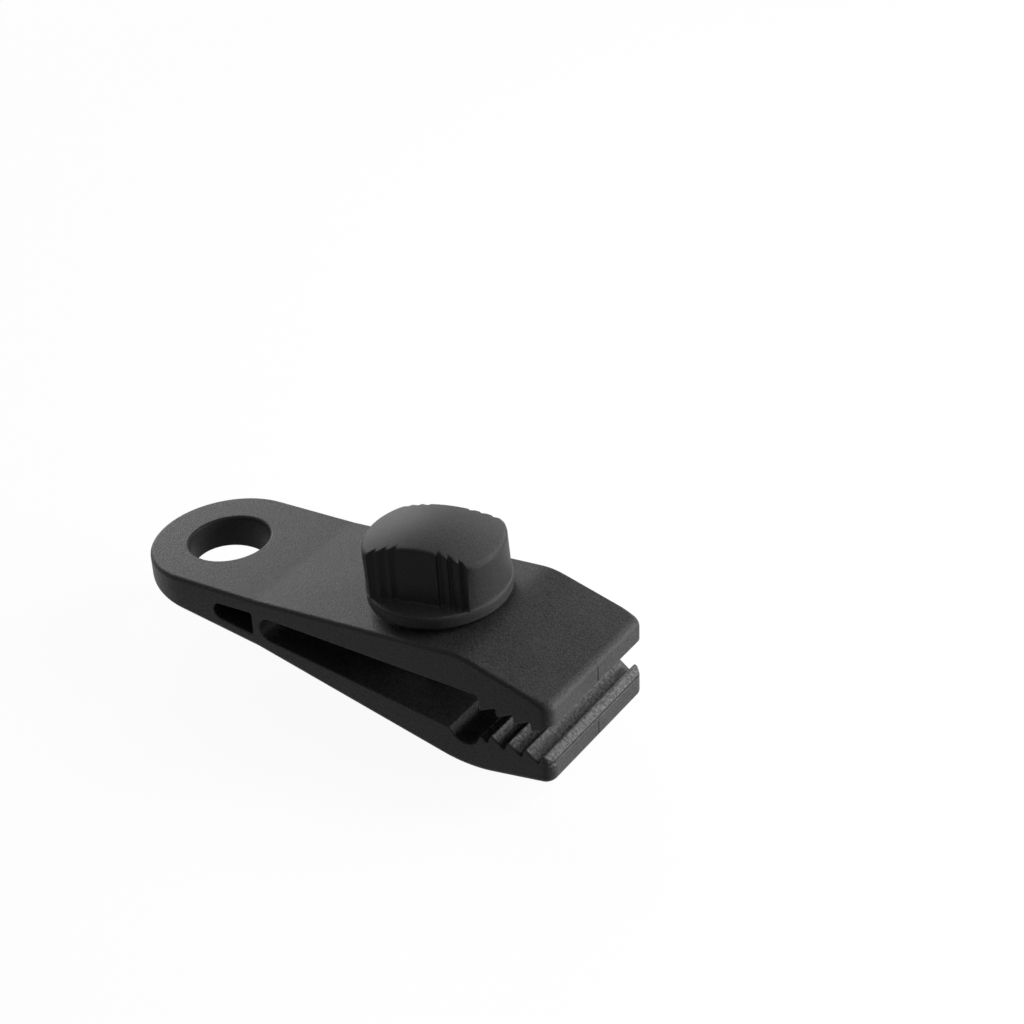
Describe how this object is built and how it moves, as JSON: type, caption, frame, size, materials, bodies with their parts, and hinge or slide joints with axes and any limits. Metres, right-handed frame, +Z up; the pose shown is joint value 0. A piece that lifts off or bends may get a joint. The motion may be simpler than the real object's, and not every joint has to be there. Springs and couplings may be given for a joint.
{
  "type": "tarp clip",
  "caption": "Flat moulded tarp clip with two toothed jaws on a thin flexing web, a rope groove, a round tether eye and a fluted thumb screw that draws the jaws together",
  "frame": {"origin": "centre of the tether eye's hole, on the middle plane between the jaws", "axes": "+X from the tether eye to the jaw mouth along the clip's length, +Y across the clip, +Z up along the eye's hole towards the knob"},
  "size_m": [0.09, 0.028, 0.0344],
  "materials": {
    "body": "black moulded plastic with a fine spark grain",
    "knob": "black satin moulded plastic",
    "stem": "smooth glossy black plastic"
  },
  "bodies": {
    "body": {"lower_jaw": "body", "hinge_web": "body", "tether_eye": "body"},
    "upper": {"upper_jaw": "body"},
    "collar": {"retaining_collar": "stem"},
    "screw": {"thumb_knob": "knob", "screw_stem": "stem"}
  },
  "joints": [
    {"name": "screw_travel", "type": "slide", "parent": "body", "child": "collar", "axis": [0.0698, 0, -0.9976], "range_m": [-0.00201, 0.00314]},
    {"name": "knob_turn", "type": "hinge", "parent": "collar", "child": "screw", "pos_m": [0.0465, 0, 0], "axis": [0.0698, 0, -0.9976], "range_deg": [-229, 358]},
    {"name": "jaw_close", "type": "hinge", "parent": "body", "child": "upper", "pos_m": [0.017, 0, 0], "axis": [0, 1, 0], "range_deg": [-3.2, 5], "stiffness_Nm_per_rad": 0.3, "springref_deg": -3.2}
  ],
  "couplings": [
    {"joint": "screw_travel", "follows": "knob_turn", "m_per_rad": 0.00050134},
    {"joint": "jaw_close", "follows": "knob_turn", "ratio": 0.013926}
  ]
}
